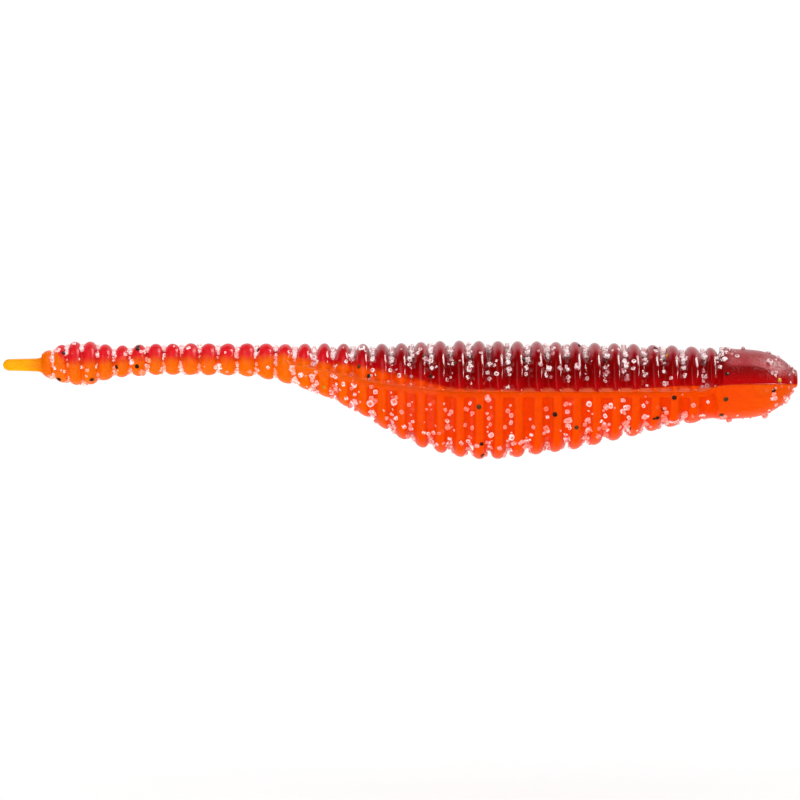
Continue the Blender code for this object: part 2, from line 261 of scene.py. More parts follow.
def skin(at, turn, is_back, sunk=None):
    """Points of the worm's surface, or points that far sunk under the outline of the rib crests."""
    at, turn = np.broadcast_arrays(np.asarray(at, float), np.asarray(turn, float))
    t = np.clip((at - NOSE_ARC_START) / (NOSE_ARC_END - NOSE_ARC_START), 0, 1)
    arc = np.sqrt(1 - (1 - t) ** 2)
    in_nose = at < NOSE_ARC_END
    rounding = np.clip(1 - at / NOSE_FACE_ROUNDING, 0, 1)
    boss = NOSE_FACE_RADIUS - NOSE_FACE_ROUNDING * (1 - np.sqrt(1 - rounding ** 2))
    top, bottom = curve(TOP, at) * arc, curve(BOTTOM, at) * arc
    half_width, rail = curve(HALF_WIDTH, at) * arc, curve(RAIL, at)
    top = np.where(in_nose, np.maximum(top, boss), top)
    bottom = np.where(in_nose, np.minimum(bottom, -boss), bottom)
    half_width = np.where(in_nose, np.maximum(half_width, boss), half_width)
    rail = np.where(in_nose, np.maximum(rail, NOSE_RAIL_SHARE * bottom), rail)
    across, up = np.cos(turn), np.abs(np.sin(turn))
    height = top - rail if is_back else rail - bottom
    power = 1.0 if is_back else 2.0 / curve(BELLY_FULLNESS, at)
    off_rail = height * up ** power
    if sunk is None:
        sunk = relief(at, up, off_rail, is_back)
        swell = wobble(at, turn, 7, 5 if is_back else 6) * (0.01 + 0.012 * smoothstep(8, 12, at))
        sunk = sunk + swell * smoothstep(0.3, 2.0, at) * smoothstep(0.0, 1.0, off_rail)
    y = np.sign(across) * np.abs(across) ** power * (half_width - sunk)
    rise = up ** power * (height - sunk)
    z = rail + rise if is_back else rail - rise
    eye = np.hypot(at - EYE_AT, z - EYE_HEIGHT) / EYE_RADIUS
    eye_depth = EYE_DEPTH * (0.25 if is_back else 1.0)
    y = y - np.sign(across) * eye_depth * (1 - smoothstep(0.86, 1.0, eye)) * (np.abs(across) > 0.5)
    lean = math.tan(CLUB_LEAN) * smoothstep(LEAN_START, CLUB_END, at)
    return np.stack([-at - lean * (z - rail), y, z], axis=-1)


def skin_frame(at, turn, is_back, sunk=None):
    """Surface points with their outward normals."""
    step = 0.03
    point = skin(at, turn, is_back, sunk)
    along = skin(at + step, turn, is_back, sunk) - skin(at - step, turn, is_back, sunk)
    around = skin(at, turn + step / 3, is_back, sunk) - skin(at, turn - step / 3, is_back, sunk)
    normal = np.cross(along, around) * (1 if is_back else -1)
    return point, normal / (np.linalg.norm(normal, axis=-1, keepdims=True) + 1e-12)


# ---------------- materials
# Colours, as linear red, green and blue.
DARK_CHERRY, THIN_CHERRY = (0.235, 0.0, 0.0006), (0.46, 0.001, 0.002)
DARK_HEAD, THIN_HEAD = (0.225, 0.0, 0.0006), (0.50, 0.0004, 0.001)
# Painted light on the head's crown: a painted highlight streak along its lower edge, and a painted sheen
# above it.
PAINTED_STREAK_HIGHLIGHT, PAINTED_CROWN_SHEEN = (0.46, 0.035, 0.045), (0.43, 0.055, 0.062)
# The middle colour on the next line is a painted sheen for the rib tops, a painted reflection.
TAIL_RED, PAINTED_RIB_SHEEN, PACKED_SALT = (0.79, 0.010, 0.018), (0.40, 0.028, 0.040), (0.84, 0.40, 0.41)
BELLY_ORANGE, TAIL_ORANGE = (0.95, 0.070, 0.0), (0.99, 0.155, 0.0004)
# The second colour on the next line is the ledges' paler thin plastic, painted lighter still as if lit
# from above.
FRONT_ORANGE, SHELF_SALMON_AND_PAINTED_LIGHT = (0.93, 0.096, 0.0005), (1.0, 0.17, 0.07)
GROOVE_SHADE, SALT_BELOW = (0.90, 0.48, 0.6), (0.95, 0.22, 0.12)
BODY_GLOW, TAIL_GLOW, BELLY_GLOW = (0.78, 0.15, 0.16), (0.86, 0.12, 0.13), (1.0, 0.17, 0.035)
LIGHT_AMBER, FULL_AMBER, ROOT_AMBER = (0.97, 0.37, 0.0), (1.0, 0.43, 0.0), (0.95, 0.2, 0.0)
# Salt colours: frost on the faces, and edges white from pale salt and a painted highlight.
SALT_FROST, SALT_EDGE_WHITE_AND_HIGHLIGHT = (0.95, 0.80, 0.80), (1.0, 0.90, 0.89)
WORN_FLAKE = (0.10, 0.03, 0.01)
WHITE = (1.0, 1.0, 1.0)
# Stretches over which one look turns into another, as distances from the nose face.
TO_TAIL, TAPER = (57.0, 68.0), (47.0, 66.0)
HEAD_TO_RIBS, DULL_TO_GLOSSY = (9.9, 11.2), (9.4, 10.2)
CROWN_ENDS, CROWN_STARTS = (8.3, 9.7), (0.4, 2.4)
# The sockets of a Mix node for numbers, and of one for colours: factor, first, second, and result.
MIX_NUMBERS, MIXED_NUMBER = (0, 2, 3), 0
MIX_COLOURS, MIXED_COLOUR = (0, 6, 7), 2


class Graph:
    """The nodes of a material or a world, with short ways to add to them."""

    def __init__(self, tree):
        self.nodes, self.links = tree.nodes, tree.links

    def feed(self, socket, value):
        """Link another node's output to a socket, or set a number, vector or colour on it."""
        if isinstance(value, bpy.types.NodeSocket):
            self.links.new(value, socket)
        else:
            socket.default_value = (*value, 1.0) if socket.type == "RGBA" else value

    def node(self, kind, **values):
        """A new node, fed by the names of its inputs, with _ for a space."""
        node = self.nodes.new(kind)
        for name, value in values.items():
            self.feed(node.inputs[name.replace("_", " ")], value)
        return node

    def shade(self, **values):
        """Feed the material's shader in the same way."""
        for name, value in values.items():
            self.feed(self.nodes["Principled BSDF"].inputs[name.replace("_", " ")], value)

    def mapped(self, value, low, high, to_low=0.0, to_high=1.0):
        """A smooth step: to_low where the value is low, to_high where it is high."""
        node = self.node("ShaderNodeMapRange", Value=value, From_Min=low, From_Max=high, To_Min=to_low,
                         To_Max=to_high)
        node.interpolation_type = "SMOOTHSTEP"
        return node.outputs["Result"]

    def blended(self, factor, a, b, mode="MIX"):
        """A colour between two colours, or another blend of them."""
        node = self.nodes.new("ShaderNodeMix")
        node.data_type = "RGBA"
        node.blend_type = mode
        for number, value in zip(MIX_COLOURS, (factor, a, b)):
            self.feed(node.inputs[number], value)
        return node.outputs[MIXED_COLOUR]

    def between(self, factor, a, b):
        """A number between two numbers."""
        node = self.nodes.new("ShaderNodeMix")
        for number, value in zip(MIX_NUMBERS, (factor, a, b)):
            self.feed(node.inputs[number], value)
        return node.outputs[MIXED_NUMBER]

    def calculated(self, operation, a, b):
        node = self.nodes.new("ShaderNodeMath")
        node.operation = operation
        for socket, value in zip(node.inputs, (a, b)):
            self.feed(socket, value)
        return node.outputs[0]

    def times(self, a, b):
        return self.calculated("MULTIPLY", a, b)

    def attribute(self, name, output="Fac"):
        """A value that the mesh's points carry."""
        node = self.nodes.new("ShaderNodeAttribute")
        node.attribute_name = name
        return node.outputs[output]

    def rest(self):
        """The unbent place, so that patterns stay with the plastic when the worm bends."""
        return self.attribute("rest", "Vector")

    def noise(self, scale, detail=2.0, roughness=0.5):
        return self.node("ShaderNodeTexNoise", Scale=scale, Detail=detail, Roughness=roughness,
                         Vector=self.rest()).outputs["Fac"]

    def bump(self, strength, distance, height):
        """Small unevenness of the surface; distance is in metres."""
        node = self.node("ShaderNodeBump", Strength=strength, Distance=distance, Height=height)
        self.shade(Normal=node.outputs["Normal"])


def new_material(name):
    material = bpy.data.materials.new(name)
    material.use_nodes = True
    return material, Graph(material.node_tree)


def head_red(graph, thin):
    """The head's red, with a painted sheen on the crown, a painted reflection, and a brighter painted
    highlight along its lower edge.
    """
    along = graph.attribute("along")
    over = graph.calculated("ADD", graph.attribute("height"), graph.mapped(along, 6.2, 0.8, 0.0, 1.5))
    reach = graph.times(graph.mapped(along, *CROWN_ENDS, 1.0, 0.0),
                        graph.mapped(along, *CROWN_STARTS, 0.25, 1.0))
    painted_sheen = graph.times(graph.mapped(over, 2.2, 2.6), reach)
    painted_sheen = graph.times(painted_sheen, graph.mapped(graph.noise(5.0, 4.0), 0.3, 0.7, 0.72, 1.0))
    painted_sheen_colour = graph.blended(graph.mapped(over, 2.5, 3.4), PAINTED_STREAK_HIGHLIGHT, PAINTED_CROWN_SHEEN)
    return graph.blended(painted_sheen, graph.blended(thin, DARK_HEAD, THIN_HEAD), painted_sheen_colour)


def back_red(graph):
    """Darkest where it is thick, glowing where it thins out over the orange, lighter in the tail."""
    along = graph.attribute("along")
    thin = graph.mapped(graph.attribute("height"), 0.1, 2.3, 1.0, 0.0)
    back = graph.blended(thin, DARK_CHERRY, THIN_CHERRY)
    back = graph.blended(graph.mapped(along, *HEAD_TO_RIBS), head_red(graph, thin), back)
    back = graph.blended(graph.mapped(along, *TAPER), back, TAIL_RED)
    # Painted sheen on the rib tops, a painted reflection of the bright studio behind.
    back = graph.blended(graph.times(graph.attribute("painted_sheen"), 0.9), back, PAINTED_RIB_SHEEN)
    return graph.blended(graph.times(graph.attribute("packed"), 0.85), back, PACKED_SALT)


def belly_orange(graph):
    """Orange, yellower towards the tail, the nose and in the eyes."""
    along = graph.attribute("along")
    belly = graph.blended(graph.mapped(along, *TAPER), BELLY_ORANGE, TAIL_ORANGE)
    front = graph.mapped(along, 0.5, 9.0, 1.0, 0.0)
    front = graph.calculated("MAXIMUM", front, graph.attribute("eye"))
    return graph.blended(front, belly, FRONT_ORANGE)


def with_salt_below(graph, colour):
    """A few grains of salt lie under the surface and show as soft pale spots."""
    grains = graph.node("ShaderNodeTexVoronoi", Scale=0.42, Vector=graph.rest())
    spot = graph.mapped(grains.outputs["Distance"], 0.07, 0.16, 0.22, 0.0)
    return graph.blended(spot, colour, SALT_BELOW)


def with_leaking_light(graph, colour, redness, tail):
    """Light leaks out of the plastic's thin edges."""
    rim = graph.node("ShaderNodeLayerWeight", Blend=0.3)
    leak = graph.mapped(rim.outputs["Facing"], 0.5, 0.98, 0.0, 0.5)
    high = graph.mapped(graph.attribute("height"), 3.3, 4.3)
    high = graph.calculated("MAXIMUM", high, graph.calculated("SUBTRACT", 1.0, redness))
    leak = graph.times(leak, graph.calculated("MAXIMUM", high, tail))
    leak = graph.times(leak, graph.mapped(graph.attribute("along"), 9.0, 12.0, 0.45, 1.0))
    red_glow = graph.blended(tail, BODY_GLOW, TAIL_GLOW)
    return graph.blended(leak, colour, graph.blended(redness, BELLY_GLOW, red_glow))


def plastisol_roughness(graph):
    """The head has a duller skin than the ribs, and the tail is dull in patches from handling."""
    along, worn = graph.attribute("along"), graph.noise(3.5, 3.0)
    smooth, dull = graph.mapped(worn, 0.3, 0.75, 0.08, 0.13), graph.mapped(worn, 0.3, 0.75, 0.13, 0.22)
    handled = graph.mapped(graph.noise(0.35), 0.4, 0.56, 0.07, 0.2)
    handled = graph.times(handled, graph.mapped(along, 60.0, 72.0))
    skin_roughness = graph.between(graph.mapped(along, *DULL_TO_GLOSSY), dull, smooth)
    return graph.calculated("ADD", skin_roughness, handled)


def plastisol(name, specular):
    """Soft translucent plastic: cherry red above the laminate line, orange below, one into the other.

    The mesh says where it is: "along" is the distance from the nose, "height" the height above the
    colour change and "lift" the same in blurs. The rest go from 0 to 1: "hollow" in the grooves, where
    shade is painted, "shelf" on the ledges above the rail, which are also painted lighter as if lit,
    "eye" in the eyes, "haze" on the rib tops, where a painted sheen stands in for reflected light, and
    "packed" where salt fills the grooves.
    """
    material, graph = new_material(name)
    along, lift = graph.attribute("along"), graph.attribute("lift")
    tail = graph.mapped(along, *TO_TAIL)
    before_tail = graph.calculated("SUBTRACT", 1.0, tail)
    uneven = graph.times(graph.calculated("SUBTRACT", graph.noise(0.9), 0.5), 0.9)
    redness = graph.mapped(graph.calculated("ADD", lift, uneven), -1.0, 1.0)
    colour = graph.blended(redness, belly_orange(graph), back_red(graph))
    # The ledges above the rail: their paler thin plastic, painted lighter still as if lit from above.
    shelf = graph.times(graph.attribute("shelf"), before_tail)
    colour = graph.blended(graph.times(shelf, 0.9), colour, SHELF_SALMON_AND_PAINTED_LIGHT)
    shade = graph.mapped(graph.times(graph.attribute("hollow"), before_tail), 0.1, 0.9, 0.0, 0.75)
    colour = graph.blended(shade, colour, graph.blended(1.0, colour, GROOVE_SHADE, "MULTIPLY"))
    cloud = graph.mapped(graph.noise(1.7, 4.0), 0.3, 0.7, 0.95, 1.04)
    tone = graph.node("ShaderNodeCombineColor", Red=cloud, Green=cloud, Blue=cloud)
    colour = graph.blended(1.0, colour, tone.outputs[0], "MULTIPLY")
    colour = with_salt_below(graph, colour)
    graph.shade(Base_Color=with_leaking_light(graph, colour, redness, tail),
                Roughness=plastisol_roughness(graph), Specular_IOR_Level=specular,
                Subsurface_Weight=0.15, Subsurface_Radius=(1.0, 0.2, 0.1), Subsurface_Scale=0.0005)
    dullness = graph.mapped(along, 8.5, 11.5, 0.8, 0.12)
    dullness = graph.times(dullness, graph.mapped(lift, 0.0, 1.0, 0.2, 1.0))
    graph.bump(dullness, 0.00008, graph.noise(4.0, 4.0, 0.6))
    return material


def amber_plastic():
    """The uncoloured tip of the tail, a clear amber that turns to orange at its root."""
    material, graph = new_material("amber_plastic")
    warm = graph.mapped(graph.noise(0.5, 3.0), 0.3, 0.7)
    colour = graph.blended(warm, LIGHT_AMBER, FULL_AMBER)
    root = graph.mapped(graph.attribute("along"), 94.6, 97.5, 1.0, 0.0)
    graph.shade(Base_Color=graph.blended(root, colour, ROOT_AMBER),
                Roughness=graph.mapped(graph.noise(1.0), 0.3, 0.7, 0.14, 0.2), Specular_IOR_Level=0.2,
                Subsurface_Weight=0.3, Subsurface_Radius=(1.0, 0.5, 0.1), Subsurface_Scale=0.0006)
    graph.bump(0.06, 0.00005, graph.noise(0.8, 2.0))
    return material


def salt_crystal():
    """Clear crystal, drawn with painted light: a painted highlight along its edges, and the plastic's
    colour painted on its faces as if seen through them.

    "tint" is that colour, and its alpha how white the edges are, from pale salt and the painted highlight.
    "rim" is 1 on the edges.
    """
    material, graph = new_material("salt_crystal")
    seen_through, edge_white_and_highlight = graph.attribute("tint", "Color"), graph.attribute("tint", "Alpha")
    frost = graph.mapped(graph.noise(6.0, 3.0), 0.35, 0.7, 0.0, 0.1)
    face = graph.blended(frost, seen_through, SALT_FROST)
    edge = graph.blended(edge_white_and_highlight, seen_through, SALT_EDGE_WHITE_AND_HIGHLIGHT)
    colour = graph.blended(graph.mapped(graph.attribute("rim"), 0.1, 0.9), face, edge)
    # A faint painted glow: the crystal gives off its own colour, though it is no lamp.
    graph.shade(Base_Color=colour, Emission_Color=colour, Emission_Strength=0.2,
                Roughness=graph.mapped(frost, 0.0, 0.1, 0.12, 0.3))
    graph.bump(0.3, 0.00004, graph.noise(9.0, 2.0))
    return material


def glitter_flake():
    """Thin flake in the colour that "tint" gives, mostly black, with a worn lacquered face."""
    material, graph = new_material("glitter_flake")
    worn = graph.mapped(graph.noise(5.0, 3.0), 0.4, 0.75, 0.0, 0.5)
    graph.shade(Base_Color=graph.blended(worn, graph.attribute("tint", "Color"), WORN_FLAKE),
                Roughness=graph.mapped(worn, 0.0, 0.5, 0.22, 0.45))
    graph.bump(0.25, 0.00003, graph.noise(8.0, 2.0))
    return material


# ---------------- meshes
def mesh_object(name, points, faces, material, floats, colours=()):
    """A mesh from millimetre points, with its rest place and other values stored."""
    mesh = bpy.data.meshes.new(name)
    mesh.from_pydata((points * MM).tolist(), [], faces)
    rest = mesh.attributes.new("rest", "FLOAT_VECTOR", "POINT")
    rest.data.foreach_set("vector", points.astype(np.float32).ravel())
    for label, values in floats:
        layer = mesh.attributes.new(label, "FLOAT", "POINT")
        layer.data.foreach_set("value", np.asarray(values, np.float32).ravel())
    for label, values in colours:
        layer = mesh.attributes.new(label, "FLOAT_COLOR", "POINT")
        layer.data.foreach_set("color", values.astype(np.float32).ravel())
    mesh.materials.append(material)
    mesh.shade_smooth()
    thing = bpy.data.objects.new(name, mesh)
    bpy.context.scene.collection.objects.link(thing)
    return thing


def ring_turns(around):
    """Turns over a half section, closer together near the rails."""
    share = np.linspace(0, 1, around + 1)
    return math.pi * (share - 0.12 * np.sin(math.tau * share))


def rib_stations(start, end):
    """Distances for the skin's rings between two grooves: close on the ribs' shoulders."""
    stations = []
    for i, centre in enumerate(CRESTS):
        middle = centre + RIB_SHIFT[i]
        share = float(curve(RIB_SHARE, centre))
        for edge in (GROOVES[i], GROOVES[i + 1]):
            on_rib = share * np.sin(np.linspace(0, math.pi / 2, 9))
            in_groove = share + (1 - share) * np.array([0.15, 0.4, 0.65, 0.85])
            stations += list(middle + (edge - middle) * np.concatenate([on_rib, in_groove]))
    stations += list(np.arange(COLLAR_FRONT, COLLAR_BACK, 0.1))
    stations = np.array(stations)
    inside = stations[(stations > start + RING_GAP) & (stations < end - RING_GAP)]
    inside = np.unique(np.round(inside, 4))
    return np.concatenate(([start, start + RING_INSET], inside, [end - RING_INSET, end]))


def head_stations(end):
    """The boss's rounded edge, the nose arc, then even rings over the eyes and cheeks."""
    boss = [0.0, 0.02, 0.06, 0.12, 0.2, 0.3, 0.4]
    nose = NOSE_ARC_START + (NOSE_ARC_END - NOSE_ARC_START) * (1 - np.cos(np.linspace(0.26, 0.9, 14)))
    even = np.arange(2.7, end - RING_GAP, 0.11)
    return np.unique(np.round(np.concatenate([boss, nose, even, [end - RING_INSET, end]]), 4))


def surface_values(grid, stations, turns, is_back):
    """What the plastic's material needs to know at every point of a half skin."""
    rail = curve(RAIL, stations)[:, None]
    height = grid[..., 2] - rail - curve(COLOUR_CHANGE, stations)[:, None]
    lift = height / curve(COLOUR_BLUR, stations)[:, None]
    along = np.broadcast_to(stations[:, None], height.shape)
    phase = rib_phase(stations)[0][:, None]
    off_rail = np.abs(grid[..., 2] - rail)
    if is_back:
        hollow = smoothstep(0.35, 0.95, phase) * (along > COLLAR)
    else:
        hollow = np.where(along < COLLAR_BACK, 0.55 * behind_cheeks(along, off_rail, 0.0),
                          smoothstep(0.25, 0.62, phase))
    hollow = hollow * smoothstep(BAND, BAND + 0.25, off_rail)
    # Where the ledges above the rail are painted lighter, partly for their thin plastic and partly as
    # painted light from above.
    shelf = smoothstep(0.15, 0.6, phase) * smoothstep(0.02, 0.1, off_rail) \
        * (1 - smoothstep(0.4, 0.52, off_rail)) * (along > COLLAR) * is_back \
        * (1 - 0.7 * smoothstep(24, 44, along))
    _, normal = skin_frame(stations[:, None], turns[None, :], is_back)
    up_share = (grid[..., 2] - rail) / (curve(TOP, stations)[:, None] - rail)
    # Painted sheen on the rib tops, a painted reflection: strongest where the unbent surface turns edge-on
    # to the camera's side.
    painted_sheen = smoothstep(0.3, 0.42, 1 - np.abs(normal[..., 1])) * smoothstep(0.64, 0.74, up_share)
    painted_sheen = painted_sheen * (1 - smoothstep(46, 64, along)) * (along > COLLAR_FRONT)
    packed = smoothstep(0.68, 0.92, phase) * smoothstep(0.72, 0.9, up_share) * (along > COLLAR_FRONT)
    eye = 1 - smoothstep(0.84, 0.98, np.hypot(along - EYE_AT, grid[..., 2] - EYE_HEIGHT) / EYE_RADIUS)
    return (("lift", lift), ("height", height), ("along", along), ("hollow", hollow),
            ("shelf", shelf), ("eye", eye), ("painted_sheen", painted_sheen), ("packed", packed))


def half_skin(name, stations, around, is_back, material):
    """One closed half of the worm between two planes across it."""
    turns = ring_turns(around)
    grid = skin(stations[:, None], turns[None, :], is_back)
    rows, columns = grid.shape[:2]
    index = np.arange(rows * columns).reshape(rows, columns)
    faces = []
    for r in range(rows - 1):
        for c in range(columns):
            d = (c + 1) % columns
            quad = (index[r, c], index[r, d], index[r + 1, d], index[r + 1, c])
            faces.append([int(v) for v in (quad[::-1] if is_back else quad)])
    front, rear = index[0].tolist(), index[-1].tolist()
    faces += [front, rear[::-1]] if is_back else [front[::-1], rear]
    piece = mesh_object(name, grid.reshape(-1, 3), faces, material,
                        surface_values(grid, stations, turns, is_back))
    # Both ends and the flat side between the rails stay flat, or they would bend the skin's shading.
    flat_side = [r * columns + columns - 1 for r in range(rows - 1)]
    for number in flat_side + [len(faces) - 2, len(faces) - 1]:
        piece.data.polygons[number].use_smooth = False
    return piece


def crystal_template():
    """A unit salt cube with soft edges and slightly hollow faces, and how near the rim each point is.

    The bevel makes its points in no fixed order, so they and the faces are sorted.
    """
    bm = bmesh.new()
    bmesh.ops.create_cube(bm, size=1.0)
    bmesh.ops.bevel(bm, geom=bm.edges[:], offset=0.24, segments=1, affect="EDGES")
    sides = [f for f in bm.faces if f.calc_area() > 0.2]
    bmesh.ops.inset_individual(bm, faces=sides, thickness=0.05, depth=-0.05)
    hollow = {v for f in sides for v in f.verts}
    corners = sorted(bm.verts, key=lambda v: v.co.to_tuple(4))
    number = {v: i for i, v in enumerate(corners)}
    points = np.array([v.co for v in corners])
    rim = np.array([0.0 if v in hollow else 1.0 for v in corners])
    faces = sorted([number[v] for v in f.verts] for f in bm.faces)
    bm.free()
    return points, rim, faces


def flake_template():
    """A thin six-sided flake, one unit across, lying across Z; none of its points is on a bright rim."""
    sides = 6
    turns = [math.tau * i / sides for i in range(sides)]
    points = [(0.5 * math.cos(turn), 0.5 * math.sin(turn), z) for z in (-0.06, 0.06) for turn in turns]
    faces = [list(range(sides))[::-1], list(range(sides, 2 * sides))]
    faces += [[i, (i + 1) % sides, sides + (i + 1) % sides, sides + i] for i in range(sides)]
    return np.array(points), np.zeros(len(points)), faces


def unit_axes(normal, spin, tilt, tilt_way):
    """Axes of grains whose third axis leans by tilt from the surface normal."""
    side = np.cross(normal, [0.31, 0.17, 0.93])
    side /= np.linalg.norm(side, axis=1, keepdims=True)
    other = np.cross(normal, side)
    lean = np.cos(tilt_way)[:, None] * side + np.sin(tilt_way)[:, None] * other
    up = np.cos(tilt)[:, None] * normal + np.sin(tilt)[:, None] * lean
    x = np.cross(lean, up)
    x /= np.linalg.norm(x, axis=1, keepdims=True)
    y = np.cross(up, x)
    turned = np.cos(spin)[:, None] * x + np.sin(spin)[:, None] * y
    return np.stack([turned, np.cross(up, turned), up], axis=1)


class Grains:
    """A growing list of grains, each with its place, axes, size and colour."""

    def __init__(self):
        self.at, self.centre, self.axes, self.size, self.tint = [], [], [], [], []

    def scatter(self, at, turn, is_back, size, proportions, rise, tilt, tint, sunk=None):
        """Grains on the skin, or sunk under the rib crests' outline; rise is in grain sizes."""
        count = len(at)
        point, normal = skin_frame(at, turn, is_back, sunk)
        self.at.append(at)
        self.centre.append(point + normal * (rise * size)[:, None])
        self.axes.append(unit_axes(normal, rng.uniform(0, math.tau, count),
                                   np.abs(rng.normal(0, tilt, count)), rng.uniform(0, math.tau, count)))
        self.size.append(size[:, None] * proportions)
        self.tint.append(tint)

    def arrays(self):
        return [np.concatenate(part) for part in (self.at, self.centre, self.axes, self.size, self.tint)]


def grain_object(name, arrays, chosen, template, material):
    """One mesh of all the chosen grains."""
    _, centre, axes, size, tint = [part[chosen] for part in arrays]
    unit, rim, unit_faces = template
    points = np.einsum("nvk,nkj->nvj", unit[None] * size[:, None, :], axes) + centre[:, None, :]
    faces = [[v + i * len(unit) for v in face] for i in range(len(centre)) for face in unit_faces]
    tints = np.repeat(tint, len(unit), axis=0)
    return mesh_object(name, points.reshape(-1, 3), faces, material,
                       (("rim", np.tile(rim, len(centre))),), (("tint", tints),))


# ---------------- salt and flakes
SMALL, MEDIUM, BIG = (0.2, 0.36), (0.4, 0.6), (0.64, 0.85)  # sizes of salt crystals
SMALL_SHARE = 0.34
RED_BEHIND, TAIL_RED_BEHIND = (0.42, 0.03, 0.05), (0.90, 0.16, 0.12)
ORANGE_BEHIND, TAIL_ORANGE_BEHIND = (0.92, 0.095, 0.025), (0.95, 0.22, 0.05)
PALE_SALT = (0.97, 0.80, 0.80)
MIDDLE = math.pi / 2  # the turn of the back's top and of the keel
NEAR_MIDDLE = 1.57  # just short of it, so a grain stays on its own side
FLAKE_COUNT = 34  # in each half
FLAKE_SIZE = (0.48, 0.66)
BLACK, BROWN = (0.010, 0.006, 0.003), (0.09, 0.045, 0.008)
GOLD, RUBY = (0.90, 0.38, 0.01), (0.60, 0.0, 0.01)


def tail_share(at):
    """0 in the ribbed body to 1 in the ringed tail."""
    return float(smoothstep(BODY_ENDS, TAIL_STARTS, at))


def grain_sizes(count, large):
    """Random sizes, of which the share that is large are big crystals."""
    kind = rng.uniform(0, 1, count)
    small, medium, big = [rng.uniform(*sizes, count) for sizes in (SMALL, MEDIUM, BIG)]
    return np.where(kind < SMALL_SHARE, small, np.where(kind < 1 - large, medium, big))


def seen_through(at, is_back, count, pale):
    """Plastic colour painted on a crystal as if seen through it, paled by it, and how white its edges are,
    from pale salt and a painted highlight.
    """
    in_tail = smoothstep(*TO_TAIL, at)[:, None]
    body, tail = (RED_BEHIND, TAIL_RED_BEHIND) if is_back else (ORANGE_BEHIND, TAIL_ORANGE_BEHIND)
    base = np.array(body) * (1 - in_tail) + np.array(tail) * in_tail
    share = rng.uniform(*pale, count)[:, None]
    tint = base * (1 - share) + np.array(PALE_SALT) * share
    clear = rng.uniform(0.4, 0.95, count)
    dull_share, dull_edge = (0.35, 0.35) if is_back else (0.62, 0.25)
    dull = rng.uniform(0, 1, count) < dull_share
    edge_white_and_highlight = np.where(dull, clear * dull_edge, clear)[:, None] * (1 - share) + share
    return np.concatenate([tint, edge_white_and_highlight], axis=1)


def add_salt(salt, at, turn, is_back, rise=(-0.35, 0.15), large=0.08, pale=(0.0, 0.2), sunk=None):
    """Crystals, large being the share of big ones and pale how far they hide the plastic."""
    count = len(at)
    salt.scatter(at, turn, is_back, grain_sizes(count, large), rng.uniform(0.75, 1.2, (count, 3)),
                 rng.uniform(*rise, count), 0.3, seen_through(at, is_back, count, pale), sunk)


def either_side(turn):
    """Mirror a random half of the turns to the other side of the worm."""
    return np.where(rng.uniform(0, 1, len(turn)) < 0.5, turn, math.pi - turn)


def sides_between(low, high, count):
    """Random turns on both sides of the worm, low and high counted from the rail."""
    return either_side(rng.uniform(low, high, count))


def around_middle(count, limit):
    """Random turns, most of them near the back's top or the keel."""
    return MIDDLE + np.clip(rng.normal(0, 0.45, count), -limit, limit)


def half_opening(groove, pitch):
    """Half the gap between two ribs."""
    return pitch * (1 - float(curve(RIB_SHARE, groove))) / 2


def fill_back_groove(salt, groove, pitch):
    """Salt packed between two ribs over the top of the back, and scattered down the sides."""
    in_tail = tail_share(groove)
    count = round(30 - 15 * in_tail)
    deepest = float(BACK_TOP_DEPTH * (1 - in_tail) + curve(TAIL_DEPTH, groove) * in_tail)
    sunk = rng.uniform(0.4, max(deepest - 0.1, 0.5), count)
    spread = np.maximum(half_opening(groove, pitch) - 0.1, 0.05)
    at = groove + rng.uniform(-1, 1, count) * spread * (1.6 - sunk / deepest)
    add_salt(salt, at, around_middle(count, 1.05), True, rise=(-0.1, 0.1), large=0.02, pale=(0.35, 0.75),
             sunk=sunk)
    count = round(13 - 8 * in_tail)
    at = groove + rng.normal(0, 0.26 - 0.1 * in_tail, count)
    add_salt(salt, at, sides_between(0.08, 0.95, count), True, rise=(-0.4, 0.1))


def fill_belly_groove(salt, groove, pitch):
    """Salt along the flutes, thickest towards the keel."""
    in_tail = tail_share(groove)
    count = round(26 - 18 * in_tail)
    at = groove + rng.uniform(-1, 1, count) * (half_opening(groove, pitch) + 0.2)
    add_salt(salt, at, around_middle(count, 0.95), False, rise=(-0.4, 0.15), pale=(0.0, 0.4))
    count = round(22 - 16 * in_tail)
    at = groove + rng.normal(0, 0.3 - 0.1 * in_tail, count)
    add_salt(salt, at, sides_between(0.04, 1.2, count), False, rise=(-0.35, 0.2))


def salt_ribs(salt):
    """A few crystals on the ribs themselves."""
    for rib in RIBS:
        count = round(3 - 2 * tail_share(rib))
        for is_back, highest in ((True, 1.1), (False, 1.05)):
            at = rib + rng.uniform(-0.5, 0.5, count)
            add_salt(salt, at, sides_between(0.25, highest, count), is_back, rise=(-0.3, 0.1))


def salt_the_head(salt):
    """Salt at the nose, along the crown and the throat, on the head's sides and before the collar."""
    for is_back, count in ((True, 28), (False, 26)):
        at, turn = rng.uniform(0.5, 3.6, count), sides_between(0.06, 1.5, count)
        add_salt(salt, at, turn, is_back, rise=(-0.3, 0.15), large=0.03)
    add_salt(salt, rng.uniform(3.6, 9.5, 16), sides_between(0.7, NEAR_MIDDLE, 16), True, large=0.02,
             rise=(-0.3, 0.2))
    add_salt(salt, rng.uniform(3.5, 11, 20), sides_between(1.05, NEAR_MIDDLE, 20), False,
             rise=(-0.3, 0.2))
    add_salt(salt, rng.uniform(1.0, 5.5, 16), sides_between(0.15, 1.1, 16), True,
             rise=(-0.15, 0.2), large=0.35, pale=(0.0, 0.15))
    before_collar = COLLAR_FRONT + rng.normal(-0.15, 0.3, 30)
    add_salt(salt, before_collar, sides_between(0.5, NEAR_MIDDLE, 30), True, pale=(0.1, 0.6))


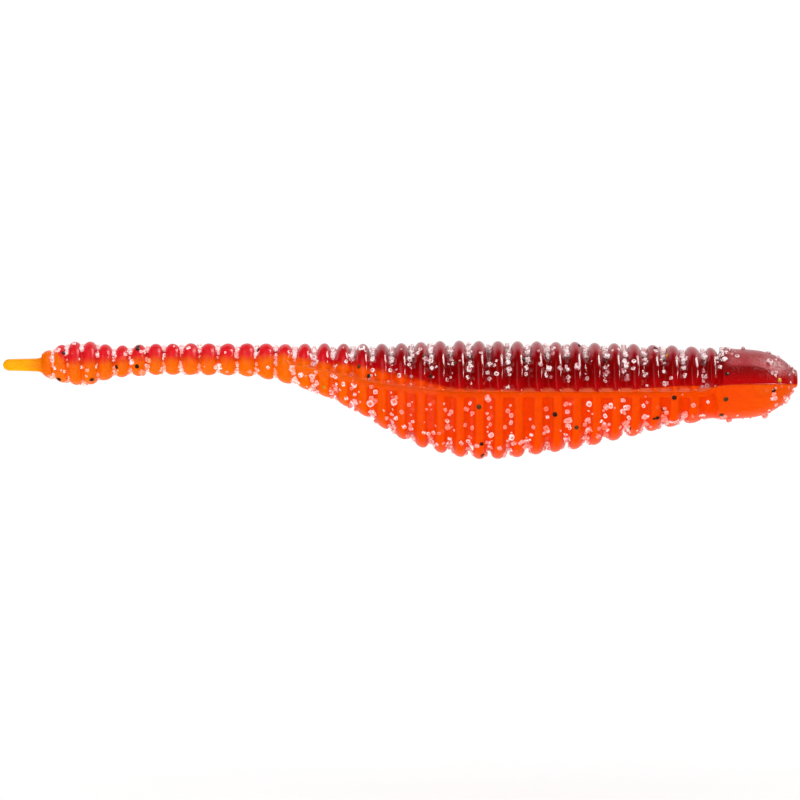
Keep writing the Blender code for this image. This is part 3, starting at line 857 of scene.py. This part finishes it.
def make_salt():
    """All the salt, thickest in the grooves."""
    salt = Grains()
    for ahead, behind, groove in zip(CRESTS[1:], CRESTS[2:], GROOVES[2:-1]):
        fill_back_groove(salt, groove, behind - ahead)
        fill_belly_groove(salt, groove, behind - ahead)
    fill_back_groove(salt, COLLAR_BACK, RIBS[0] - COLLAR)
    add_salt(salt, rng.uniform(11.2, 12.5, 12), sides_between(0.3, NEAR_MIDDLE, 12), False)
    salt_ribs(salt)
    salt_the_head(salt)
    return salt


def make_flakes():
    """Flakes on the sides of both halves, a few more of them in the body than in the tail."""
    flakes = Grains()
    for is_back in (True, False):
        at = rng.uniform(2.5, CLUB_END - 1.5, FLAKE_COUNT)
        in_body = rng.uniform(0, 1, FLAKE_COUNT) < 0.25
        at = np.where(in_body, rng.uniform(2.5, 60, FLAKE_COUNT), at)
        turn = sides_between(0.12, 1.25, FLAKE_COUNT)
        kind = rng.uniform(0, 1, FLAKE_COUNT)[:, None]
        rare = np.where(kind < 0.97, GOLD, RUBY)
        tint = np.where(kind < 0.76, BLACK, np.where(kind < 0.91, BROWN, rare))
        tint = np.concatenate([tint, np.ones((FLAKE_COUNT, 1))], axis=1)
        flakes.scatter(at, turn, is_back, rng.uniform(*FLAKE_SIZE, FLAKE_COUNT), np.ones((FLAKE_COUNT, 3)),
                       rng.uniform(0.02, 0.12, FLAKE_COUNT), 0.16, tint)
    return flakes


# ---------------- the pieces
# Glossy in the body, dull on the head and the tail.
RED, ORANGE = plastisol("cherry_plastisol", 0.5), plastisol("orange_plastisol", 0.2)
DULL_RED, DULL_ORANGE = plastisol("dull_cherry_plastisol", 0.22), plastisol("dull_orange_plastisol", 0.16)
SALT, FLAKE, AMBER = salt_crystal(), glitter_flake(), amber_plastic()
JOINTS = sorted(frame["joints"], key=lambda joint: -joint["pos_m"][0])
CHAIN = [JOINTS[0]["parent"]] + [joint["child"] for joint in JOINTS]
FLEXES = [-1000 * joint["pos_m"][0] for joint in JOINTS]


def meeting_grooves():
    """Grooves where two skin pieces meet: one in the middle of each segment of the chain."""
    reach = FLEXES[1] - FLEXES[0]
    middles = [FLEXES[0] - reach / 2]
    middles += [(ahead + behind) / 2 for ahead, behind in zip(FLEXES, FLEXES[1:])]
    return [float(GROOVES[np.argmin(np.abs(GROOVES - middle))]) for middle in middles] + [CLUB_END]


MEETINGS = meeting_grooves()
SALT_GRAINS, FLAKE_GRAINS = make_salt().arrays(), make_flakes().arrays()


def bend(piece, number):
    """Number 0 rides on the stiff front; any later piece only has its place baked into its points."""
    if number == 0:
        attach(piece, CHAIN[0])
        return
    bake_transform(piece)


def grains_between(label, number, arrays, low, high, template, material):
    """The grains that lie between two distances, as one piece placed like the skin there."""
    chosen = (arrays[0] >= low) & (arrays[0] < high)
    piece = grain_object(f"{label}_{number:02d}", arrays, chosen, template, material)
    bend(piece, number)


def build_body():
    """The skins of all segments behind the head, and all the salt and flakes."""
    crystal, flake = crystal_template(), flake_template()
    edges = [COLLAR_FRONT] + MEETINGS
    for number, segment in enumerate(CHAIN):
        stations = rib_stations(edges[number], edges[number + 1])
        red, orange = (DULL_RED, DULL_ORANGE) if edges[number] > BODY_ENDS else (RED, ORANGE)
        for is_back, side, material, slot in ((True, "back", red, "red_back"),
                                              (False, "belly", orange, "orange_belly")):
            piece = half_skin(f"{side}_skin_{segment}", stations, AROUND, is_back, material)
            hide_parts(f"{side}_{segment}")
            bend(piece, number)
        low = 0.0 if number == 0 else edges[number]
        high = math.inf if number == len(CHAIN) - 1 else edges[number + 1]
        grains_between("salt", number, SALT_GRAINS, low, high, crystal, SALT)
        grains_between("flakes", number, FLAKE_GRAINS, low, high, flake, FLAKE)


def build_head():
    """The head's two halves, which ride on the stiff front."""
    for is_back, side, material, slot in ((True, "back", DULL_RED, "red_back"),
                                          (False, "belly", DULL_ORANGE, "orange_belly")):
        piece = half_skin(f"head_{side}_skin", head_stations(COLLAR_FRONT), AROUND_HEAD, is_back,
                          material)
        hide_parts(f"head_{side}")
        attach(piece, CHAIN[0])


def peg_profile():
    """(at, radius) of the peg's rings: a flare, a slightly tapering pin and a domed end."""
    flare, taper, pin_rings, dome_steps = ((-0.25, 1.35), (0.15, 1.18), (0.45, 1.05)), 0.012, 9, 10
    profile = [(CLUB_END + past, PEG_RADIUS * share) for past, share in flare]
    for i, at in enumerate(np.linspace(CLUB_END + 0.9, PEG_END - PEG_RADIUS, pin_rings)):
        profile.append((at, PEG_RADIUS * (1.0 - taper * i)))
    end_radius = profile[-1][1]
    for i in range(1, dome_steps):
        turn = math.pi / 2 * i / dome_steps
        profile.append((PEG_END - PEG_RADIUS * (1 - math.sin(turn)), end_radius * math.cos(turn)))
    return profile


def build_peg():
    """Amber peg: a thin pin with a domed end, flaring where it grows out of the last ring."""
    sides = 40
    profile = peg_profile()
    turns = np.arange(sides) * math.tau / sides
    rings = [np.stack([np.full(sides, -at), radius * np.cos(turns), PEG_HEIGHT + radius * np.sin(turns)],
                      axis=-1) for at, radius in profile]
    points = np.concatenate(rings + [[(-PEG_END, 0.0, PEG_HEIGHT)]])
    index = np.arange(len(profile) * sides).reshape(len(profile), sides)
    faces = [[int(v) for v in (index[r, (c + 1) % sides], index[r, c], index[r + 1, c],
                               index[r + 1, (c + 1) % sides])]
             for r in range(len(profile) - 1) for c in range(sides)]
    tip = len(points) - 1
    faces += [[int(index[-1, (c + 1) % sides]), int(index[-1, c]), tip] for c in range(sides)]
    faces.append(index[0].tolist())
    along = np.concatenate([np.full(sides, at) for at, _ in profile] + [[PEG_END]])
    piece = mesh_object("tail_peg_skin", points, faces, AMBER, (("along", along),))
    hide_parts("tail_peg")
    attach(piece, CHAIN[-1])


build_head()
build_body()
build_peg()


# ---------------- floor, light and camera
FLOOR_SIZE, FLOOR_HEIGHT, FLOOR_GLOW = 6.0, -0.055, 0.07
BACKGROUND_STRENGTH = 1.05
AIM = (-0.05, 0.0, -0.002)  # the worm's middle
OVERCAST_DEGREES = 110
CAMERA_DISTANCE, CAMERA_SENSOR, FRAME_WIDTH = 0.5, 36.0, 0.10076


def build_stage():
    """Plain white floor, well below the worm, which is held up by its nose."""
    bpy.ops.mesh.primitive_plane_add(size=FLOOR_SIZE, location=(0, 0, FLOOR_HEIGHT))
    floor = bpy.context.object
    floor.name = "floor"
    material, graph = new_material("floor_white")
    graph.shade(Base_Color=WHITE, Roughness=0.9, Specular_IOR_Level=0.0, Emission_Color=WHITE,
                Emission_Strength=FLOOR_GLOW)
    floor.data.materials.append(material)
    floor.visible_glossy = False
    floor.visible_shadow = False


def build_world():
    """White to the camera; mirrored in the plastic it is bright behind the worm and dark before it."""
    world = bpy.data.worlds.new("studio")
    bpy.context.scene.world = world
    world.use_nodes = True
    graph = Graph(world.node_tree)
    direction = graph.node("ShaderNodeTexCoord").outputs["Generated"]
    x, y, z = graph.node("ShaderNodeSeparateXYZ", Vector=direction).outputs
    behind = graph.times(graph.mapped(y, 0.22, 0.5), graph.mapped(z, -0.3, 0.3, 0.5, 0.95))
    behind = graph.times(behind, graph.mapped(x, -0.75, -0.45, 0.15, 1.0))
    # a dim panel to the left of the camera
    panel = graph.times(graph.mapped(x, -0.14, -0.06, 1.0, 0.0), graph.mapped(x, -0.55, -0.40))
    panel = graph.times(panel, graph.mapped(y, -0.5, -0.3, 0.6, 0.0))
    mirrored = graph.calculated("ADD", behind, panel)
    to_camera = graph.node("ShaderNodeLightPath").outputs["Is Camera Ray"]
    background = graph.nodes["Background"]
    graph.feed(background.inputs["Color"], WHITE)
    graph.feed(background.inputs["Strength"], graph.between(to_camera, mirrored, BACKGROUND_STRENGTH))


def overcast(name, direction, strength):
    """Very soft light from a whole side of the studio, which leaves no highlight."""
    light = bpy.data.lights.new(name, "SUN")
    light.angle = math.radians(OVERCAST_DEGREES)
    light.energy = math.pi * strength
    thing = bpy.data.objects.new(name, light)
    thing.rotation_mode = "QUATERNION"
    thing.rotation_quaternion = Vector(direction).to_track_quat("Z", "Y")
    thing.visible_glossy = False
    bpy.context.scene.collection.objects.link(thing)


def glint_lamp(name, place, along, width, height, radiance):
    """A lamp seen only as a glint, aimed at the worm's middle, its width along a direction."""
    light = bpy.data.lights.new(name, "AREA")
    light.shape = "RECTANGLE"
    light.size, light.size_y = width, height
    light.energy = math.pi * width * height * radiance
    back = np.array(place, float) - np.array(AIM)
    back /= np.linalg.norm(back)
    right = np.array(along, float) - np.dot(along, back) * back
    right /= np.linalg.norm(right)
    thing = bpy.data.objects.new(name, light)
    thing.matrix_world = Matrix([(right[i], np.cross(back, right)[i], back[i], place[i])
                                 for i in range(3)] + [(0, 0, 0, 1)])
    thing.visible_camera = False
    thing.visible_diffuse = False
    bpy.context.scene.collection.objects.link(thing)


def build_lights():
    """Soft light all around, and lamps for the glints on the ribs and the crown."""
    overcast("from_the_front", (0, -1, 0.25), 0.42)
    overcast("from_above", (0.1, -0.25, 1), 0.54)
    overcast("from_below", (0, -0.6, -1), 0.3)
    glint_lamp("right_glint", (0.182, 0.016, 0.25), (0.148, 0.27, -0.179), 0.2, 0.13, 14.0)
    glint_lamp("right_dot", (0.27, -0.088, 0.168), (0.25, 0.91, 0), 0.14, 0.035, 17.0)
    glint_lamp("crown_glint", (0.06, -0.03, 0.25), (1, 0, 0), 0.11, 0.13, 0.3)


def build_camera():
    """Level side view from half a metre, as wide as the bait and a hair more."""
    low, high = [np.array(corner) for corner in cad_box]
    middle = (low + high) / 2
    camera = bpy.data.cameras.new("camera")
    camera.sensor_width = CAMERA_SENSOR
    camera.lens = CAMERA_SENSOR * CAMERA_DISTANCE / FRAME_WIDTH
    camera.clip_start, camera.clip_end = 0.01, 20.0
    thing = bpy.data.objects.new("camera", camera)
    thing.location = (middle[0], -CAMERA_DISTANCE, middle[2])
    thing.rotation_euler = (math.pi / 2, 0, 0)
    bpy.context.scene.collection.objects.link(thing)
    bpy.context.scene.camera = thing


build_stage()
build_world()
build_lights()
build_camera()
bpy.context.scene.view_settings.view_transform = "Standard"
